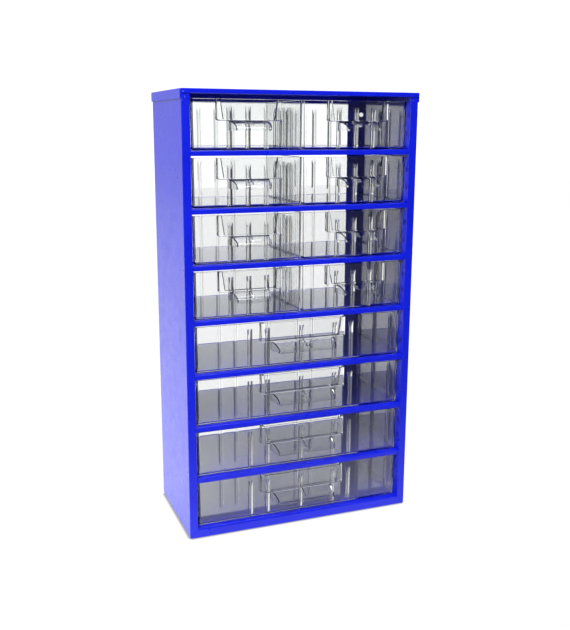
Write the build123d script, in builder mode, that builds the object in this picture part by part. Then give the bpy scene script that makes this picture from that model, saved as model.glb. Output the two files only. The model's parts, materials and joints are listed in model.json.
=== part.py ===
"""Parts organizer: a folded sheet-steel cabinet with eight rows of clear pull-out drawers.

Units are millimetres. X runs to the right, Y to the back and Z up, and the drawers face -Y.
The origin is the middle of the footprint, on the surface that the cabinet stands on.
"""

import os
from math import radians, tan

from build123d import *

# The cabinet over everything
cabinet_width = 306.0  # over the cover's side skirts
cabinet_depth = 165.0  # from the front of the pulls to the cover's rear skirt
cabinet_height = 550.0
pull_proud = 17.0  # how far the pulls stand in front of the steel
sheet = 0.8  # thickness of the steel
bend_radius = 3.0  # outside of the two bottom bends
fold_radius = 1.1  # outside of every other fold

# Top cover
cover_overhang = 1.3  # beyond the carcass at the sides and the back
skirt_height = 11.5  # side and rear skirts
front_skirt_height = 5.2

# Carcass flanges
side_flange = 10.2  # width of the front side flanges
bottom_flange = 10.5  # height of the front and rear bottom flanges
rear_flange = 28.5  # width of the rear side flanges
return_depth = 12.0  # second fold of the front side flanges, towards the back
corner_slit = 0.3  # gap between two flanges that meet at a corner
hanger_hole_radius = 3.0
hanger_hole_x = 145.5
hanger_hole_z = 525.0

# Rows, numbered from the top
row_count = 8
small_rows = 4  # the upper rows, with two small drawers each
row_pitch = 66.9
lowest_floor = 12.2  # top of the lowest shelf
rail_height = 5.8  # front lip of a shelf
shelf_setback = 1.0  # shelf lips lie behind the face of the flanges
shelf_clearance = 0.2  # at each end, beside the folded returns

# Slots in the returns: every third one holds a shelf tab
slots_per_row = 3
slot_height = 7.0
slot_depth = 6.0
slot_setback = 2.4  # from the front face to the slot
slot_drop = 2.6  # centre of a used slot below the shelf's top
hook_reach = 2.6  # from the shelf's end to the outside of its hook
hook_drop = 4.5

# Drawers
drawer_recess = 6.3  # front wall behind the front face of the steel
drawer_length = 135.0
drawer_height = 58.0  # without the runners
small_drawer_width = 138.0
wide_drawer_width = 277.6
small_drawer_gap = 2.0  # between the two drawers of a row
running_gap = 0.3  # under the runners
wall = 1.8
floor = 2.0
draft = 0.5  # degrees, so that a drawer is widest at its top
plan_radius = 2.5  # outside of the upright corners
base_radius = 3.0  # outside of the bottom edges
floor_radius = 1.4  # inside, between the walls and the floor
rim_radius = 0.4
runner_width = 1.6
runner_height = 0.4
runner_inset = 10.0  # from the ends of a runner to the drawer's walls

# Ribs that hold the dividers, in pairs, each with its far flank sloping
rib_width = 2.3  # at the wall
rib_crest = 0.6
rib_gap = 1.9  # at the wall
rib_depth = 2.1
rib_top = 8.0  # below the drawer's top
rib_tip = 7.0  # length of the pointed top end

# Label pocket and pull on a drawer's front
pocket_height = 24.8
pocket_reach = 7.2
pocket_wall = 1.5  # front plate and bottom
pocket_side_top = 4.5  # thickness of the side walls, which grow towards the bottom
pocket_side_foot = 8.0
pocket_radius = 2.6
pocket_edge = 1.1  # rounding of the front plate's edges
pull_drop = 11.0
pull_wall = 1.6
pull_end_taper = 3.5  # each end comes in by this much from back to front
pull_corner_radius = 3.0
gusset_thickness = 1.3
gusset_share = 0.5  # size of the middle gusset against the pull's inside

# Places worked out from the dimensions above
front_y = -cabinet_depth / 2 + pull_proud
back_y = cabinet_depth / 2
shell_back_y = back_y - cover_overhang
shell_half_width = cabinet_width / 2 - cover_overhang
shell_height = cabinet_height - sheet
opening_half_width = shell_half_width - side_flange
drawer_front_y = front_y + drawer_recess
drawer_middle_y = drawer_front_y + drawer_length / 2
pull_reach = pull_proud + drawer_recess
slot_pitch = row_pitch / slots_per_row
shelf_half_width = opening_half_width - shelf_clearance
front_face = Plane.XZ.offset(-front_y)
back_face = Plane.XZ.offset(-shell_back_y)


def block(x_range, y_range):
    """Add a rectangle that spans two ranges to the sketch that is being drawn."""
    with Locations(((x_range[0] + x_range[1]) / 2, (y_range[0] + y_range[1]) / 2)):
        Rectangle(x_range[1] - x_range[0], y_range[1] - y_range[0])


def folded_outline(inset, mode=Mode.ADD):
    """Draw the carcass's outline in front view, taken in by inset, up to its open top."""
    half_width = shell_half_width - inset
    corners = [
        (-half_width, shell_height),
        (-half_width, inset),
        (half_width, inset),
        (half_width, shell_height),
    ]
    with BuildLine() as outline:
        strip = FilletPolyline(corners, radius=bend_radius - inset)
        Line(strip @ 1, strip @ 0)
    make_face(outline.edges(), mode=mode)


def shelf_top(row):
    """Height of the surface that the drawers of a row rest on."""
    return lowest_floor + (row_count - row) * row_pitch


# Carcass: both sides and the bottom, bent from one strip of sheet with its edges folded in
with BuildPart() as carcass:
    with BuildSketch(front_face):
        folded_outline(0)
    extrude(amount=front_y - shell_back_y)
    rims = carcass.edges().group_by(Axis.Y)[0] + carcass.edges().group_by(Axis.Y)[-1]
    fillet(rims.filter_by(lambda rim: rim.center().Z < shell_height - sheet), fold_radius)
    with BuildSketch(front_face.offset(-sheet)):
        folded_outline(sheet)
    extrude(amount=front_y - shell_back_y + 2 * sheet, mode=Mode.SUBTRACT)

    # The front opening leaves narrow flanges, mitred where they meet in the bottom corners
    with BuildSketch(front_face):
        with Locations((0, bottom_flange)):
            Rectangle(2 * opening_half_width, cabinet_height, align=(Align.CENTER, Align.MIN))
        for side in (-1, 1):
            with Locations((side * (shell_half_width - side_flange / 2), bottom_flange / 2)):
                Rectangle(side_flange, corner_slit, rotation=-45 * side)
    extrude(amount=-sheet, mode=Mode.SUBTRACT)

    # The back opening leaves wide flanges at the sides and a low one along the bottom
    with BuildSketch(back_face):
        with Locations((0, bottom_flange)):
            Rectangle(
                2 * (shell_half_width - rear_flange),
                cabinet_height,
                align=(Align.CENTER, Align.MIN),
            )
            Rectangle(
                2 * (shell_half_width - sheet),
                corner_slit,
                align=(Align.CENTER, Align.MIN),
            )
        # Holes for hanging the cabinet on a wall
        with Locations((-hanger_hole_x, hanger_hole_z), (hanger_hole_x, hanger_hole_z)):
            Circle(hanger_hole_radius)
    extrude(amount=sheet, mode=Mode.SUBTRACT)

    # Returns: the front side flanges fold back again, with slots for the shelf tabs
    with BuildSketch(Plane.XY.offset(bottom_flange)):
        for side in (-1, 1):
            with Locations((side * (opening_half_width + sheet / 2), front_y + return_depth / 2)):
                Rectangle(sheet, return_depth)
    extrude(amount=shell_height - bottom_flange)
    with BuildSketch(Plane.YZ):
        for slot in range(row_count * slots_per_row):
            slot_z = lowest_floor - slot_drop + slot * slot_pitch
            with Locations((front_y + slot_setback + slot_depth / 2, slot_z)):
                Rectangle(slot_depth, slot_height)
    extrude(amount=opening_half_width + sheet, both=True, mode=Mode.SUBTRACT)
carcass.part.label = "carcass"

# Top cover: a shallow tray, upside down over the carcass, with a lower skirt at the front
with BuildPart() as top_cover:
    cover_front_y = front_y - sheet
    with BuildSketch(Plane.XY.offset(cabinet_height - skirt_height)):
        block((-cabinet_width / 2, cabinet_width / 2), (cover_front_y, back_y))
    extrude(amount=skirt_height)
    folds = top_cover.edges().group_by(Axis.Z)[-1] + top_cover.edges().filter_by(Axis.Z)
    fillet(folds, fold_radius)
    with BuildSketch(Plane.XY.offset(cabinet_height - skirt_height)):
        block((sheet - cabinet_width / 2, cabinet_width / 2 - sheet), (front_y, back_y - sheet))
    extrude(amount=skirt_height - sheet, mode=Mode.SUBTRACT)
    with BuildSketch(Plane.XY.offset(cabinet_height - skirt_height)):
        block((sheet - cabinet_width / 2, cabinet_width / 2 - sheet), (cover_front_y, front_y))
    extrude(amount=skirt_height - front_skirt_height, mode=Mode.SUBTRACT)
top_cover.part.label = "top_cover"

# Shelf: a plate with lips bent down at the front and back, drawn with its top at Z = 0
with BuildPart() as shelf:
    shelf_front_y = front_y + shelf_setback
    shelf_back_y = shell_back_y - sheet
    wide_half = shell_half_width - sheet - shelf_clearance
    hook_end = shelf_half_width + hook_reach
    slot_front_y = front_y + slot_setback
    tab_range = (slot_front_y + shelf_clearance, slot_front_y + slot_depth - shelf_clearance)
    with BuildSketch(Plane.XY):
        block((-shelf_half_width, shelf_half_width), (shelf_front_y, shelf_back_y))
        block((-wide_half, wide_half), (front_y + return_depth + shelf_clearance, shelf_back_y))
        block((-hook_end, hook_end), tab_range)
    extrude(amount=-sheet)
    with BuildSketch(Plane.XY):
        block((-shelf_half_width, shelf_half_width), (shelf_front_y, shelf_front_y + sheet))
        block((-wide_half, wide_half), (shelf_back_y - sheet, shelf_back_y))
    extrude(amount=-rail_height)
    with BuildSketch(Plane.XY):
        block((-hook_end, sheet - hook_end), tab_range)
        block((hook_end - sheet, hook_end), tab_range)
    extrude(amount=-hook_drop)
    lip_edges = (
        shelf.edges()
        .filter_by(Axis.X)
        .filter_by(lambda edge: abs(edge.center().Z) < 0.01 and edge.length > small_drawer_width)
    )
    fillet(lip_edges.sort_by(Axis.Y)[0], fold_radius)
    fillet(lip_edges.sort_by(Axis.Y)[-1], fold_radius)


def make_rib(side):
    """A rib on a wall at Y = 0 with its foot at Z = 0, for one side of a divider at X = 0."""
    near = side * rib_gap / 2
    far = side * (rib_gap / 2 + rib_width)
    height = drawer_height - rib_top - floor / 2
    with BuildPart() as rib:
        with BuildSketch(Plane.XY):
            with BuildLine():
                Polyline(
                    (near, -wall / 2),
                    (near, rib_depth),
                    (near + side * rib_crest, rib_depth),
                    (far, 0),
                    (far, -wall / 2),
                    close=True,
                )
            make_face()
        extrude(amount=height)
        # Pointed top
        with BuildSketch(Plane.YZ.offset(far)):
            with BuildLine():
                Polyline((0, height), (rib_depth, height - rib_tip), (rib_depth, height), close=True)
            make_face()
        extrude(amount=-side * rib_width, mode=Mode.SUBTRACT)
    return rib.part


def rib_places(half_width, low_y, high_y, dividers_x, dividers_y):
    """Where the pairs of ribs stand: on the front and rear walls, then on the side walls."""
    middle_y = (low_y + high_y) / 2
    foot = floor / 2
    places = [Location((x, low_y, foot)) for x in dividers_x]
    places += [Location((x, high_y, foot), (0, 0, 180)) for x in dividers_x]
    places += [Location((-half_width, middle_y + y, foot), (0, 0, -90)) for y in dividers_y]
    places += [Location((half_width, middle_y + y, foot), (0, 0, 90)) for y in dividers_y]
    return places


def pull_blank(half_width, reach, drop, corner_radius, buried):
    """A solid quarter-round hood: its section is a quarter ellipse, and its ends taper in."""
    front_half = half_width - pull_end_taper * reach / pull_reach
    with BuildPart() as blank:
        with BuildSketch(Plane.YZ):
            hood_section(reach, drop, buried)
        extrude(amount=half_width, both=True)
        with BuildSketch(Plane.XY) as plan:
            with BuildLine():
                Polyline(
                    (-half_width, 0),
                    (-front_half, -reach),
                    (front_half, -reach),
                    (half_width, 0),
                    close=True,
                )
            make_face()
            fillet(plan.vertices().group_by(Axis.Y)[0], corner_radius)
            if buried:
                block((-half_width, half_width), (0, buried))
        extrude(amount=drop, mode=Mode.INTERSECT)
    return blank.part


def hood_section(reach, drop, buried):
    """Draw the hood's side view: a quarter ellipse from the wall out and down."""
    with BuildLine() as outline:
        crown = EllipticalCenterArc((0, 0), reach, drop, start_angle=90, arc_size=90)
        if buried:
            Polyline(crown @ 1, (buried, 0), (buried, drop), crown @ 0)
        else:
            Polyline(crown @ 1, (0, 0), crown @ 0)
    make_face(outline.edges())


def make_pull(half_width):
    """The hood that fingers reach up into, with its origin below it on the drawer's front wall."""
    inner_half = half_width - pull_wall
    inner_reach = pull_reach - pull_wall
    inner_drop = pull_drop - pull_wall
    inner_radius = pull_corner_radius - pull_wall
    with BuildPart() as pull:
        add(pull_blank(half_width, pull_reach, pull_drop, pull_corner_radius, wall / 2))
        add(pull_blank(inner_half, inner_reach, inner_drop, inner_radius, 0), mode=Mode.SUBTRACT)
        # Middle gusset, high up under the hood
        with BuildSketch(Plane.YZ):
            hood_section(inner_reach, inner_drop, wall / 2)
            with Locations((-pull_reach, 0)):
                Rectangle(
                    2 * pull_reach,
                    inner_drop * (1 - gusset_share),
                    align=(Align.MIN, Align.MIN),
                    mode=Mode.SUBTRACT,
                )
        extrude(amount=gusset_thickness / 2, both=True)
    return pull.part


def pocket_outline(foot_half, top_half, low, radius, mode=Mode.ADD):
    """Draw the label pocket's outline in front view, open to the top, with round lower corners."""
    corners = [
        (-top_half, drawer_height),
        (-foot_half, low),
        (foot_half, low),
        (top_half, drawer_height),
    ]
    with BuildLine() as outline:
        strip = FilletPolyline(corners, radius=radius)
        Line(strip @ 1, strip @ 0)
    make_face(outline.edges(), mode=mode)


def make_drawer(width, dividers_x, dividers_y, pocket_half, pull_half, runner_x):
    """One moulded drawer in its place along Y, centred on X, with its floor's underside at Z = 0."""
    lean = tan(radians(draft))
    outer_width = width - 2 * drawer_height * lean
    outer_length = drawer_length - 2 * drawer_height * lean
    inner_width = outer_width - 2 * wall + 2 * floor * lean
    inner_length = outer_length - 2 * wall + 2 * floor * lean
    pocket_low = drawer_height - pocket_height
    front_wall = Plane.XZ.offset(-drawer_front_y)
    with BuildPart() as drawer:
        # Box with drafted walls
        with BuildSketch(Plane.XY):
            with Locations((0, drawer_middle_y)):
                RectangleRounded(outer_width, outer_length, plan_radius)
        extrude(amount=drawer_height, taper=-draft)
        fillet(drawer.edges().group_by(Axis.Z)[0], base_radius)
        with BuildSketch(Plane.XY.offset(floor)):
            with Locations((0, drawer_middle_y)):
                RectangleRounded(inner_width, inner_length, plan_radius - wall / 2)
        extrude(amount=drawer_height - floor, taper=-draft, mode=Mode.SUBTRACT)
        fillet(drawer.edges().filter_by_position(Axis.Z, floor, floor), floor_radius)
        fillet(drawer.edges().group_by(Axis.Z)[-1], rim_radius)

        # Divider ribs
        low_y = drawer_middle_y - inner_length / 2
        high_y = drawer_middle_y + inner_length / 2
        with Locations(rib_places(inner_width / 2, low_y, high_y, dividers_x, dividers_y)):
            add(make_rib(-1))
            add(make_rib(1))

        # Runners under the floor
        with BuildSketch(Plane.XY.offset(-runner_height)):
            with Locations((-runner_x, drawer_middle_y), (runner_x, drawer_middle_y)):
                Rectangle(runner_width, drawer_length - 2 * runner_inset)
        extrude(amount=runner_height + floor / 2)

        # Label pocket, open at its top: side and bottom walls, then the front plate
        with BuildSketch(front_wall.offset(-wall / 2)):
            pocket_outline(pocket_half, pocket_half, pocket_low, pocket_radius)
            pocket_outline(
                pocket_half - pocket_side_foot,
                pocket_half - pocket_side_top,
                pocket_low + pocket_wall,
                pocket_radius - pocket_wall,
                mode=Mode.SUBTRACT,
            )
        extrude(amount=wall / 2 + pocket_reach)
        with BuildSketch(front_wall.offset(pocket_reach - pocket_wall)):
            pocket_outline(pocket_half, pocket_half, pocket_low, pocket_radius)
        extrude(amount=pocket_wall)
        plate_edges = drawer.edges().group_by(Axis.Y)[0]
        fillet(plate_edges.filter_by(lambda e: e.center().Z < drawer_height - 1), pocket_edge)

        # Pull, under the pocket
        with Locations((0, drawer_front_y, pocket_low - pull_drop)):
            add(make_pull(pull_half))
    return drawer.part


def place_row(drawer, names_and_x, row):
    """Write a copy of the drawer for each place in a row."""
    for name, x in names_and_x:
        placed = drawer.moved(Location((x, 0, shelf_top(row) + running_gap + runner_height)))
        placed.label = name
        export_step(placed, f"parts/{name}.step")


small_drawer = make_drawer(
    width=small_drawer_width,
    dividers_x=(-23, 0, 23),
    dividers_y=(-22.8, 0, 22.8),
    pocket_half=40,
    pull_half=25,
    runner_x=55,
)
wide_drawer = make_drawer(
    width=wide_drawer_width,
    dividers_x=(-69, -46, 0, 46, 69),
    dividers_y=(-45.5, 0, 45.5),
    pocket_half=57,
    pull_half=42,
    runner_x=86,
)

os.makedirs("parts", exist_ok=True)
export_step(carcass.part, "parts/carcass.step")
export_step(top_cover.part, "parts/top_cover.step")
for row in range(1, row_count + 1):
    placed_shelf = shelf.part.moved(Location((0, 0, shelf_top(row))))
    placed_shelf.label = f"shelf_row{row}"
    export_step(placed_shelf, f"parts/shelf_row{row}.step")
    if row <= small_rows:
        side_x = (small_drawer_width + small_drawer_gap) / 2
        pair = ((f"small_drawer_row{row}_left", -side_x), (f"small_drawer_row{row}_right", side_x))
        place_row(small_drawer, pair, row)
    else:
        place_row(wide_drawer, ((f"wide_drawer_row{row}", 0),), row)
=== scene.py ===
"""Studio scene and finishes for the parts organizer.

Metres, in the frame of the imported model: X to the right, Y to the back, Z up, drawers facing -Y.
"""

import json
import math

import bmesh
import bpy
import mathutils
from mathutils import Matrix, Vector


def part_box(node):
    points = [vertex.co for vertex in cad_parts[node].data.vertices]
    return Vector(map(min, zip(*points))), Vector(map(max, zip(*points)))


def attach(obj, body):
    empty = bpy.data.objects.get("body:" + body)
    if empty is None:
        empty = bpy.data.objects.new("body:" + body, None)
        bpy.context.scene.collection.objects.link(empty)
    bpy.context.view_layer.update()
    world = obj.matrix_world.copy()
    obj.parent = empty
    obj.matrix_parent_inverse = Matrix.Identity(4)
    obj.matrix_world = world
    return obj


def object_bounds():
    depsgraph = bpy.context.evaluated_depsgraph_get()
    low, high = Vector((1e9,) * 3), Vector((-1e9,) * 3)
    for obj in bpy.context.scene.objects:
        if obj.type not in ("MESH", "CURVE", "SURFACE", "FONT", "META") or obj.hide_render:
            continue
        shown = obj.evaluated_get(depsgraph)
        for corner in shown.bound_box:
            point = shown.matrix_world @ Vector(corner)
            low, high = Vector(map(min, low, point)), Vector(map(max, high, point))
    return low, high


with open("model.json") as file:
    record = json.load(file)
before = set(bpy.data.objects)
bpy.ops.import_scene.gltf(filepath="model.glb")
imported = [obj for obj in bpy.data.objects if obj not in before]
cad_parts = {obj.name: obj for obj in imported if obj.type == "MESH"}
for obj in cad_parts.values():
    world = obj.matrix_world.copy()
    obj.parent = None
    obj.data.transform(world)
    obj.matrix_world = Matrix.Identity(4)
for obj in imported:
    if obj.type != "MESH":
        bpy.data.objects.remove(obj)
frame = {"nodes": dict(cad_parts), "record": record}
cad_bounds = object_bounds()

# Camera: a small studio set-up at eye level with the top row
camera_place = (-0.39316, -1.01691, 0.50757)
camera_yaw = math.radians(21.136)  # to the right of straight ahead
camera_pitch = math.radians(12.572)  # down
camera_roll = math.radians(0.258)
lens = 48.15  # mm
sensor = 36.0  # mm, along the picture's longer side

# Light, as linear radiance where 1 is the white point. Yaw is to the right of straight behind.
backdrop_seen = 1.15
backdrop_light = 1.42
backdrop_ramps = (  # degrees of yaw, with the share of light before and after; they multiply
    ((-150.0, -120.0), 0.0, 1.0),
    ((-62.0, -48.0), 0.12, 1.2),
    ((-27.0, -18.0), 1.0, 0.33),
    ((-9.0, 3.0), 1.0, 2.5),
    ((44.0, 56.0), 1.0, 0.14),
    ((110.0, 140.0), 1.0, 0.0),
)
backdrop_top = (0.0, 1.0)  # height of the direction, from lit to dark
room_light = 0.035  # the dark room around it
window_light = 1.3  # added high up behind the left half
window_yaw = (10.0, 20.0)  # degrees, from lit to unlit
window_foot = (0.33, 0.4)  # height of the direction, from unlit to lit
front_glow = 0.01  # of the floor, well in front of the cabinet
near_glow = 0.85  # just in front of it
back_glow = 1.1  # behind it
left_ramps = (  # metres of X, with the share of the glow before and after; they multiply
    ((-0.9, -0.17), 0.78, 1.42),
    ((-0.17, -0.12), 1.0, 0.69),
)
floor_seen = 0.95
painted_contact_shadow_seen = 0.3  # painted contact shadow: the floor's brightness to the camera right against the cabinet
painted_contact_shadow_reach = 0.005  # metres, how far out the painted contact shadow reaches
floor_half = 6.0  # metres, so the floor runs out of the picture

# Softboxes: name, place, target, size in metres and power in watts. A target of None is the cabinet's middle.
softboxes = (
    ("key_softbox", (-1.25, -1.9, 1.95), None, 1.2, 106.0),
    ("back_softbox", (0.0, 1.6, 1.9), (0.0, 1.0, 0.0), 1.6, 7.0),
    ("top_softbox", (0.1, -0.6, 2.2), None, 0.9, 12.0),
)

# Paint and plastic
blue_low = (0.002, 0.009, 0.58, 1.0)
blue_high = (0.003, 0.012, 0.64, 1.0)
peel_scale = 260.0  # features per metre
peel_depth = 0.00003
plastic_tint = (0.945, 0.955, 0.95, 1.0)
plastic_ior = 1.57
flow_depth = 0.00005
lamp_through = (0.49, 0.49, 0.5, 1.0)  # of a lamp's light past one wall

# Tack welds under the paint: name, node, side, then inward, down, radius and height in metres
corner_beads = (
    ("tack_left_upper", "top_cover", -1, 0.0045, 0.0045, 0.0015, 0.0007),
    ("tack_left_middle", "carcass", -1, 0.0065, 0.0105, 0.0016, 0.0006),
    ("tack_left_lower", "carcass", -1, 0.0026, 0.0140, 0.0011, 0.0005),
    ("tack_right_upper", "top_cover", 1, 0.0100, 0.0046, 0.0012, 0.0006),
    ("tack_right_lower", "carcass", 1, 0.0085, 0.0100, 0.0015, 0.0006),
)


def node_tree(material):
    """The node tree of a material or world, emptied."""
    material.use_nodes = True
    tree = material.node_tree
    tree.nodes.clear()
    return tree


def add_node(tree, kind, **inputs):
    """A shader node, with its unlinked inputs set by name."""
    node = tree.nodes.new(kind)
    for name, value in inputs.items():
        node.inputs[name.replace("_", " ")].default_value = value
    return node


def noise(tree, coordinates, scale, detail=2.0, roughness=0.5, distortion=0.0):
    """A noise texture in object space. The scale is in features per metre."""
    node = add_node(
        tree,
        "ShaderNodeTexNoise",
        Scale=scale,
        Detail=detail,
        Roughness=roughness,
        Distortion=distortion,
    )
    tree.links.new(coordinates, node.inputs["Vector"])
    return node.outputs["Fac"]


def remap(tree, value, from_low, from_high, to_low, to_high):
    """Map a value from one range to another, clamped."""
    node = add_node(
        tree,
        "ShaderNodeMapRange",
        From_Min=from_low,
        From_Max=from_high,
        To_Min=to_low,
        To_Max=to_high,
    )
    tree.links.new(value, node.inputs["Value"])
    return node.outputs["Result"]


def maths(tree, operation, first, second):
    """A sum or product of two values."""
    node = tree.nodes.new("ShaderNodeMath")
    node.operation = operation
    for value, socket in zip((first, second), node.inputs):
        tree.links.new(value, socket)
    return node.outputs["Value"]


def blend(tree, lighting, seen):
    """One value for the light that a surface gives, another, a number or an output, for the camera."""
    node = tree.nodes.new("ShaderNodeMix")
    camera_ray = tree.nodes.new("ShaderNodeLightPath").outputs["Is Camera Ray"]
    tree.links.new(camera_ray, node.inputs["Factor"])
    tree.links.new(lighting, node.inputs["A"])
    if isinstance(seen, float):
        node.inputs["B"].default_value = seen
    else:
        tree.links.new(seen, node.inputs["B"])
    return node.outputs["Result"]


def bump(tree, height, distance, strength):
    """A bump of a height field, distance metres deep."""
    node = add_node(tree, "ShaderNodeBump", Strength=strength, Distance=distance)
    tree.links.new(height, node.inputs["Height"])
    return node.outputs["Normal"]


def powder_coat():
    """Gloss blue powder coat: orange peel, slight unevenness of colour and gloss."""
    material = bpy.data.materials.new("blue_powder_coat")
    tree = node_tree(material)
    place = tree.nodes.new("ShaderNodeTexCoord").outputs["Object"]
    peel = noise(tree, place, peel_scale, detail=2.0)
    cloud = noise(tree, place, 14.0, detail=4.0, roughness=0.6)
    rubbed = noise(tree, place, 90.0, detail=5.0, roughness=0.7)

    tone = tree.nodes.new("ShaderNodeMix")
    tone.data_type = "RGBA"
    tone.inputs["A"].default_value = blue_low
    tone.inputs["B"].default_value = blue_high
    tree.links.new(remap(tree, cloud, 0.35, 0.65, 0.0, 1.0), tone.inputs["Factor"])

    shader = add_node(tree, "ShaderNodeBsdfPrincipled", IOR=1.5)
    tree.links.new(tone.outputs["Result"], shader.inputs["Base Color"])
    tree.links.new(remap(tree, rubbed, 0.3, 0.7, 0.26, 0.36), shader.inputs["Roughness"])
    tree.links.new(bump(tree, peel, peel_depth, 0.12), shader.inputs["Normal"])
    out = tree.nodes.new("ShaderNodeOutputMaterial")
    tree.links.new(shader.outputs["BSDF"], out.inputs["Surface"])
    return material


def clear_polystyrene():
    """Clear moulded polystyrene: faint flow waves and slightly uneven gloss, lamps shine through it."""
    material = bpy.data.materials.new("clear_polystyrene")
    tree = node_tree(material)
    place = tree.nodes.new("ShaderNodeTexCoord").outputs["Object"]
    flow = noise(tree, place, 22.0, detail=1.5, distortion=0.6)
    haze = noise(tree, place, 60.0, detail=5.0, roughness=0.7)

    shader = add_node(
        tree,
        "ShaderNodeBsdfPrincipled",
        Base_Color=plastic_tint,
        Transmission_Weight=1.0,
        IOR=plastic_ior,
    )
    tree.links.new(remap(tree, haze, 0.3, 0.7, 0.0, 0.004), shader.inputs["Roughness"])
    tree.links.new(bump(tree, flow, flow_depth, 0.3), shader.inputs["Normal"])

    through = add_node(tree, "ShaderNodeBsdfTransparent", Color=lamp_through)
    lamp_ray = tree.nodes.new("ShaderNodeLightPath").outputs["Is Shadow Ray"]
    mix = tree.nodes.new("ShaderNodeMixShader")
    tree.links.new(lamp_ray, mix.inputs["Fac"])
    tree.links.new(shader.outputs["BSDF"], mix.inputs[1])
    tree.links.new(through.outputs["BSDF"], mix.inputs[2])
    out = tree.nodes.new("ShaderNodeOutputMaterial")
    tree.links.new(mix.outputs["Shader"], out.inputs["Surface"])
    return material


def finish_cad_nodes(finishes):
    """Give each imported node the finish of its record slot."""
    for part in frame["record"]["subparts"]:
        piece = frame["nodes"][part["node"]]
        piece.data.materials.clear()
        piece.data.materials.append(finishes[part["material_slot"]])


def paint_bead(name, node, side, inward, down, radius, height, material):
    """A low uneven dome of paint over a tack weld, set in from a front top corner of the cover."""
    low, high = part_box("top_cover")
    corner = low if side < 0 else high
    middle = Vector((corner.x - side * inward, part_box(node)[0].y, high.z - down))
    builder = bmesh.new()
    bmesh.ops.create_uvsphere(builder, u_segments=24, v_segments=12, radius=1.0)
    buried = [vertex for vertex in builder.verts if vertex.co.y > 0.3]
    bmesh.ops.delete(builder, geom=buried, context="VERTS")
    bmesh.ops.holes_fill(builder, edges=builder.edges)
    for vertex in builder.verts:
        uneven = 1.0 + 0.3 * mathutils.noise.noise(vertex.co + middle * 400.0)
        x, y, z = vertex.co * uneven
        vertex.co = middle + Vector((x * radius, y * height, z * radius))
    mesh = bpy.data.meshes.new(name)
    builder.to_mesh(mesh)
    builder.free()
    for face in mesh.polygons:
        face.use_smooth = len(face.vertices) < 5
    mesh.materials.append(material)
    bead = bpy.data.objects.new(name, mesh)
    bpy.context.scene.collection.objects.link(bead)
    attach(bead, "cabinet")


def paper_floor():
    """The pale sweep that the cabinet stands on, overexposed but for a painted contact shadow, a dark line
    along the cabinet's foot.
    """
    bpy.ops.mesh.primitive_plane_add(size=2 * floor_half, location=(0, 0, 0))
    floor = bpy.context.object
    floor.name = "studio_floor"
    material = bpy.data.materials.new("white_paper")
    tree = node_tree(material)
    place = tree.nodes.new("ShaderNodeTexCoord").outputs["Object"]
    grain = noise(tree, place, 300.0, detail=4.0)
    shader = add_node(
        tree,
        "ShaderNodeBsdfPrincipled",
        Base_Color=(0.05, 0.05, 0.052, 1.0),
        Roughness=0.9,
        Emission_Color=(1.0, 0.99, 1.0, 1.0),
    )
    axes = tree.nodes.new("ShaderNodeSeparateXYZ")
    tree.links.new(place, axes.inputs["Vector"])
    # Painted light: to all but the camera the floor glows in place of lamp light falling on it, dim well in
    # front, brighter near and behind the cabinet, and scaled along X
    front = remap(tree, axes.outputs["Y"], -0.5, -0.1, front_glow, near_glow)
    back = remap(tree, axes.outputs["Y"], -0.1, 0.1, 0.0, back_glow - near_glow)
    lit = maths(tree, "ADD", front, back)
    for edge, before, after in left_ramps:
        lit = maths(tree, "MULTIPLY", lit, remap(tree, axes.outputs["X"], *edge, before, after))
    # Painted shadow: ambient occlusion darkens the floor that the camera sees where it meets the cabinet
    corner = add_node(tree, "ShaderNodeAmbientOcclusion", Distance=painted_contact_shadow_reach)
    seen = remap(tree, corner.outputs["AO"], 0.5, 0.9, painted_contact_shadow_seen, floor_seen)
    glow = blend(tree, lit, seen)
    tree.links.new(glow, shader.inputs["Emission Strength"])
    tree.links.new(bump(tree, grain, 0.0001, 0.2), shader.inputs["Normal"])
    out = tree.nodes.new("ShaderNodeOutputMaterial")
    tree.links.new(shader.outputs["BSDF"], out.inputs["Surface"])
    floor.data.materials.append(material)


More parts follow.
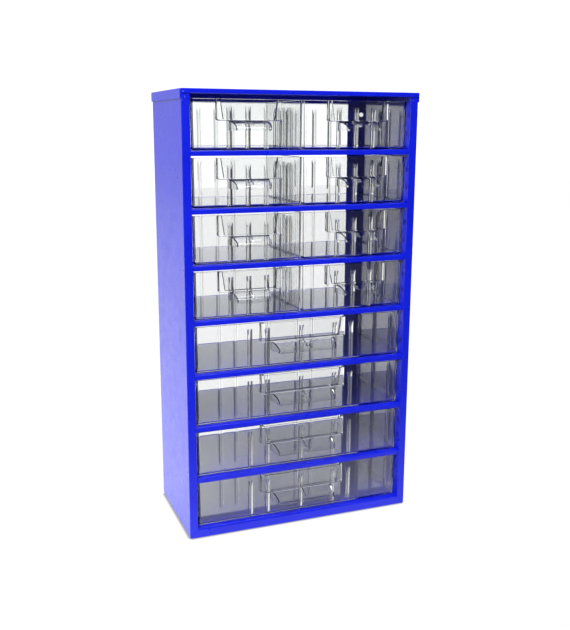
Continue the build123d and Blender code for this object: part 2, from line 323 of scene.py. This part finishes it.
def studio_world():
    """A lit backdrop behind the cabinet, a dark room elsewhere; the camera sees white all round."""
    world = bpy.data.worlds.new("studio")
    bpy.context.scene.world = world
    tree = node_tree(world)
    axes = tree.nodes.new("ShaderNodeSeparateXYZ")
    direction = tree.nodes.new("ShaderNodeTexCoord").outputs["Generated"]
    tree.links.new(direction, axes.inputs["Vector"])
    yaw = tree.nodes.new("ShaderNodeMath")
    yaw.operation = "ARCTAN2"
    tree.links.new(axes.outputs["X"], yaw.inputs[0])
    tree.links.new(axes.outputs["Y"], yaw.inputs[1])
    lit = remap(tree, axes.outputs["Z"], *backdrop_top, 1.0, 0.0)
    for edge, before, after in backdrop_ramps:
        low, high = (math.radians(angle) for angle in edge)
        ramp = remap(tree, yaw.outputs["Value"], low, high, before, after)
        lit = maths(tree, "MULTIPLY", lit, ramp)
    strength = remap(tree, lit, 0.0, 1.0, room_light, backdrop_light)
    low, high = (math.radians(angle) for angle in window_yaw)
    across = remap(tree, yaw.outputs["Value"], low, high, window_light, 0.0)
    above = remap(tree, axes.outputs["Z"], *window_foot, 0.0, 1.0)
    behind = remap(tree, axes.outputs["Y"], 0.0, 0.3, 0.0, 1.0)
    window = maths(tree, "MULTIPLY", maths(tree, "MULTIPLY", across, above), behind)
    strength = maths(tree, "ADD", strength, window)
    room = add_node(tree, "ShaderNodeBackground", Color=(0.99, 0.99, 1.0, 1.0))
    tree.links.new(blend(tree, strength, backdrop_seen), room.inputs["Strength"])
    out = tree.nodes.new("ShaderNodeOutputWorld")
    tree.links.new(room.outputs["Background"], out.inputs["Surface"])


def softbox(name, place, target, size, power):
    """A square area lamp at place, turned towards target."""
    lamp = bpy.data.lights.new(name, "AREA")
    lamp.shape = "SQUARE"
    lamp.size = size
    lamp.energy = power
    holder = bpy.data.objects.new(name, lamp)
    bpy.context.scene.collection.objects.link(holder)
    holder.location = place
    aim = Vector(target) - Vector(place)
    holder.rotation_euler = aim.to_track_quat("-Z", "Y").to_euler()


def studio_camera():
    """The camera, placed by its yaw, pitch and roll."""
    camera = bpy.data.cameras.new("camera")
    camera.lens = lens
    camera.sensor_fit = "AUTO"
    camera.sensor_width = sensor
    camera.clip_start = 0.01
    holder = bpy.data.objects.new("camera", camera)
    bpy.context.scene.collection.objects.link(holder)
    turn = Matrix.Rotation(-camera_yaw, 4, "Z") @ Matrix.Rotation(math.pi / 2 - camera_pitch, 4, "X")
    holder.matrix_world = Matrix.Translation(camera_place) @ turn @ Matrix.Rotation(camera_roll, 4, "Z")
    bpy.context.scene.camera = holder


def render_look():
    """Plain colour and enough bounces for light to pass through a whole row of drawers."""
    scene = bpy.context.scene
    scene.view_settings.view_transform = "Standard"
    scene.view_settings.look = "None"
    scene.cycles.max_bounces = 32
    scene.cycles.transmission_bounces = 32
    scene.cycles.transparent_max_bounces = 48
    scene.cycles.glossy_bounces = 8
    scene.cycles.diffuse_bounces = 4


paint = powder_coat()
finish_cad_nodes({"blue_steel": paint, "clear_plastic": clear_polystyrene()})
for bead in corner_beads:
    paint_bead(*bead, paint)
paper_floor()
studio_world()
middle = (0.0, 0.0, cad_bounds[1][2] / 2)
for name, place, target, size, power in softboxes:
    softbox(name, place, target or middle, size, power)
studio_camera()
render_look()
